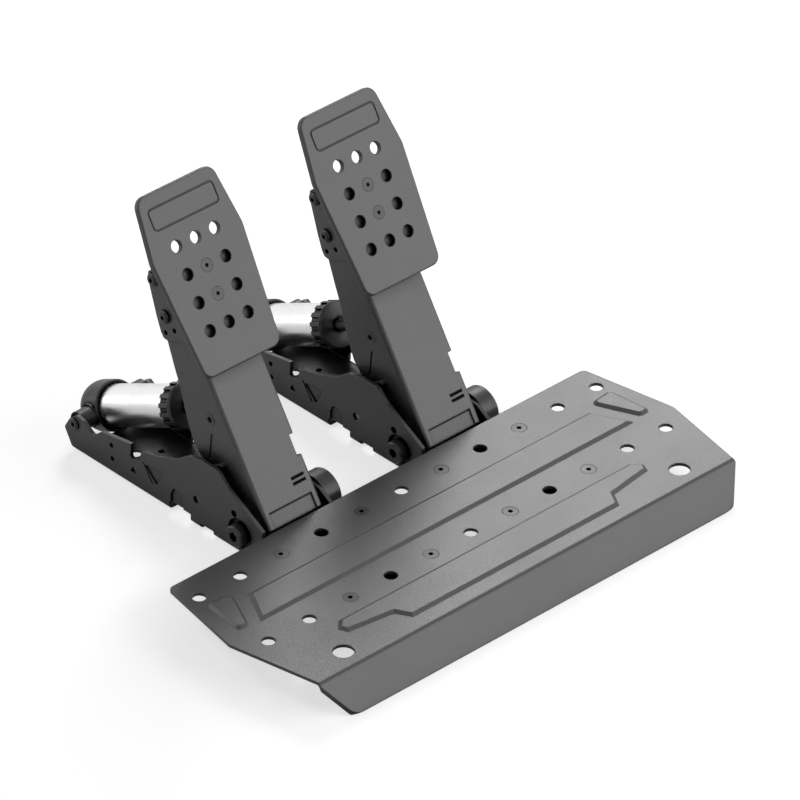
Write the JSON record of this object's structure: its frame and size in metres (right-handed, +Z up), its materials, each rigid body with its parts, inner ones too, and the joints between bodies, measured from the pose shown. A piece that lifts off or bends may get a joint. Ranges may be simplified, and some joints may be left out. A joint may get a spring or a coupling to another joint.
{
  "type": "sim racing pedal set",
  "caption": "Sim racing pedal set: brake and throttle with leaning channel arms, perforated plates and spring struts on a folded, embossed steel heel plate.",
  "frame": {"origin": "middle of the bounding box in X and Y, on the floor", "axes": "+X from the brake to the throttle, +Y away from the driver, +Z up"},
  "size_m": [0.3576, 0.3314, 0.206],
  "materials": {
    "grey_steel": "fine powder coat",
    "dark_steel": "fine powder coat",
    "black_bolt": "black oxide",
    "grey_bolt": "satin",
    "bronze": "sintered",
    "bright_steel": "polished",
    "spring_steel": "drawn wire",
    "bright_tube": "polished",
    "black_aluminium": "black anodised",
    "black_plastic": "fine grain",
    "board": "solder mask"
  },
  "bodies": {
    "base": {"heel_plate": "grey_steel", "heel_plate_screws": "black_bolt", "brake_base_bracket": "dark_steel", "brake_pivot_bushes": "bronze", "brake_rear_pin": "black_bolt", "brake_rear_spacers": "black_bolt", "brake_sensor_housing": "black_plastic", "brake_sensor_cover": "black_plastic", "brake_sensor_board": "board", "brake_sensor_screws": "bright_steel", "brake_cable_gland": "black_plastic", "throttle_base_bracket": "dark_steel", "throttle_pivot_bushes": "bronze", "throttle_rear_pin": "black_bolt", "throttle_rear_spacers": "black_bolt", "throttle_sensor_housing": "black_plastic", "throttle_sensor_cover": "black_plastic", "throttle_sensor_board": "board", "throttle_sensor_screws": "bright_steel", "throttle_cable_gland": "black_plastic"},
    "brake_arm": {"brake_pedal_arm": "grey_steel", "brake_pivot_axle": "black_bolt", "brake_sensor_magnet": "bright_steel", "brake_face_bracket": "grey_steel", "brake_face_bracket_bolts": "black_bolt", "brake_pedal_plate": "grey_steel", "brake_pedal_plate_screws": "grey_bolt", "brake_link_pin": "grey_bolt", "brake_link_spacers": "bright_steel"},
    "brake_strut": {"brake_rear_cap": "black_aluminium", "brake_strut_tube": "bright_tube", "brake_strut_spring": "spring_steel"},
    "brake_nut": {"brake_preload_nut": "black_aluminium"},
    "brake_rod": {"brake_push_rod": "bright_steel", "brake_piston": "black_plastic"},
    "throttle_arm": {"throttle_pedal_arm": "grey_steel", "throttle_pivot_axle": "black_bolt", "throttle_sensor_magnet": "bright_steel", "throttle_face_bracket": "grey_steel", "throttle_face_bracket_bolts": "black_bolt", "throttle_pedal_plate": "grey_steel", "throttle_pedal_plate_screws": "grey_bolt", "throttle_link_pin": "grey_bolt", "throttle_link_spacers": "bright_steel"},
    "throttle_strut": {"throttle_rear_cap": "black_aluminium", "throttle_strut_tube": "bright_tube", "throttle_strut_spring": "spring_steel"},
    "throttle_nut": {"throttle_preload_nut": "black_aluminium"},
    "throttle_rod": {"throttle_push_rod": "bright_steel", "throttle_piston": "black_plastic"}
  },
  "joints": [
    {"name": "brake_press", "type": "hinge", "parent": "base", "child": "brake_arm", "pos_m": [-0.064, -0.00075, 0.0142], "axis": [-1, 0, 0], "range_deg": [0, 16], "stiffness_Nm_per_rad": 28, "springref_deg": -8.59},
    {"name": "brake_strut_swing", "type": "hinge", "parent": "base", "child": "brake_strut", "pos_m": [-0.064, 0.14625, 0.0194], "axis": [1, 0, 0], "range_deg": [0, 2]},
    {"name": "brake_rod_slide", "type": "slide", "parent": "brake_strut", "child": "brake_rod", "axis": [0, 0.8984, -0.4392], "range_m": [0, 0.0195], "deforming": ["brake_strut_spring"]},
    {"name": "brake_nut_turn", "type": "hinge", "parent": "brake_strut", "child": "brake_nut", "pos_m": [-0.064, 0.14625, 0.0194], "axis": [0, -0.8984, 0.4392], "continuous": true},
    {"name": "throttle_press", "type": "hinge", "parent": "base", "child": "throttle_arm", "pos_m": [0.064, -0.00075, 0.0142], "axis": [-1, 0, 0], "range_deg": [0, 16], "stiffness_Nm_per_rad": 12, "springref_deg": -14.32},
    {"name": "throttle_strut_swing", "type": "hinge", "parent": "base", "child": "throttle_strut", "pos_m": [0.064, 0.14625, 0.0194], "axis": [1, 0, 0], "range_deg": [0, 2]},
    {"name": "throttle_rod_slide", "type": "slide", "parent": "throttle_strut", "child": "throttle_rod", "axis": [0, 0.8984, -0.4392], "range_m": [0, 0.0195], "deforming": ["throttle_strut_spring"]},
    {"name": "throttle_nut_turn", "type": "hinge", "parent": "throttle_strut", "child": "throttle_nut", "pos_m": [0.064, 0.14625, 0.0194], "axis": [0, -0.8984, 0.4392], "continuous": true}
  ],
  "couplings": [
    {"joint": "brake_strut_swing", "follows": "brake_press", "ratio": 0.1023},
    {"joint": "brake_rod_slide", "follows": "brake_press", "m_per_rad": 0.06799},
    {"joint": "throttle_strut_swing", "follows": "throttle_press", "ratio": 0.1023},
    {"joint": "throttle_rod_slide", "follows": "throttle_press", "m_per_rad": 0.06799}
  ]
}
